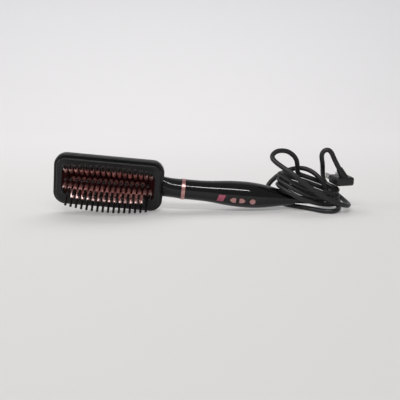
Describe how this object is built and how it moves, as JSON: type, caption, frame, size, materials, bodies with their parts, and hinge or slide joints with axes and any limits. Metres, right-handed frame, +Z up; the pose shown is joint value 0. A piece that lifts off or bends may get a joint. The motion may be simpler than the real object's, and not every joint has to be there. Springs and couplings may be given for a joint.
{
  "type": "heated styling brush",
  "caption": "Paddle-shaped heated styling brush with rows of eyed heated teeth and cool tips, a handle with display and push buttons, and a bundled mains cord with plug.",
  "frame": {"origin": "middle of the brush's footprint on the floor, cord bundle left out", "axes": "+X along the handle towards the cord, -Y the way the teeth point, +Z up"},
  "size_m": [0.3477, 0.0652, 0.0728],
  "materials": {
    "head_black": "satin charcoal black",
    "handle_black": "gloss black",
    "rose_gold": "rose-gold satin coat",
    "tip_black": "matt heat-proof nylon",
    "display_pink": "tinted clear magenta",
    "heater_metal": "plain aluminium",
    "steel": "plain steel",
    "mica": "pressed mica sheet",
    "board_green": "solder mask",
    "part_black": "moulded black",
    "wire_red": "silicone sleeve",
    "cord_black": "matt charcoal",
    "blade_nickel": "nickel-plated brass"
  },
  "bodies": {
    "brush": {"head_back_shell": "head_black", "head_front_frame": "head_black", "heater_plate": "rose_gold", "teeth_row_1": "rose_gold", "cool_tips_1": "tip_black", "teeth_row_2": "rose_gold", "cool_tips_2": "tip_black", "teeth_row_3": "rose_gold", "cool_tips_3": "tip_black", "teeth_row_4": "rose_gold", "cool_tips_4": "tip_black", "guard_pins": "tip_black", "ptc_heaters": "heater_metal", "heater_clamp": "steel", "clamp_screws": "steel", "mica_insulator": "mica", "thermal_fuse": "part_black", "temperature_sensor": "part_black", "trim_ring": "rose_gold", "neck_coupler": "part_black", "handle_front_shell": "handle_black", "handle_rear_shell": "handle_black", "display_window": "display_pink", "control_board": "board_green", "board_screws": "steel", "tact_switches": "part_black", "display_module": "part_black", "heater_wires": "wire_red", "cord_lead": "cord_black", "cord_hank": "cord_black", "cord_loops": "cord_black", "plug_body": "cord_black", "plug_blades": "blade_nickel"},
    "minus_key": {"button_minus": "rose_gold"},
    "plus_key": {"button_plus": "rose_gold"},
    "power_key": {"button_power": "rose_gold"},
    "cord_swivel": {"swivel_boot": "cord_black"}
  },
  "joints": [
    {"name": "minus_press", "type": "slide", "parent": "brush", "child": "minus_key", "axis": [0.0321, 0.9483, 0.3157], "range_m": [0, 0.0006], "stiffness_N_per_m": 800, "springref_m": -0.0005},
    {"name": "plus_press", "type": "slide", "parent": "brush", "child": "plus_key", "axis": [0.0321, 0.9483, 0.3157], "range_m": [0, 0.0006], "stiffness_N_per_m": 800, "springref_m": -0.0005},
    {"name": "power_press", "type": "slide", "parent": "brush", "child": "power_key", "axis": [0.0321, 0.9483, 0.3157], "range_m": [0, 0.0006], "stiffness_N_per_m": 800, "springref_m": -0.0005},
    {"name": "cord_swivel_turn", "type": "hinge", "parent": "brush", "child": "cord_swivel", "pos_m": [0.1519, 0.00976, 0.0099], "axis": [0.9949, 0, -0.1011], "continuous": true}
  ]
}
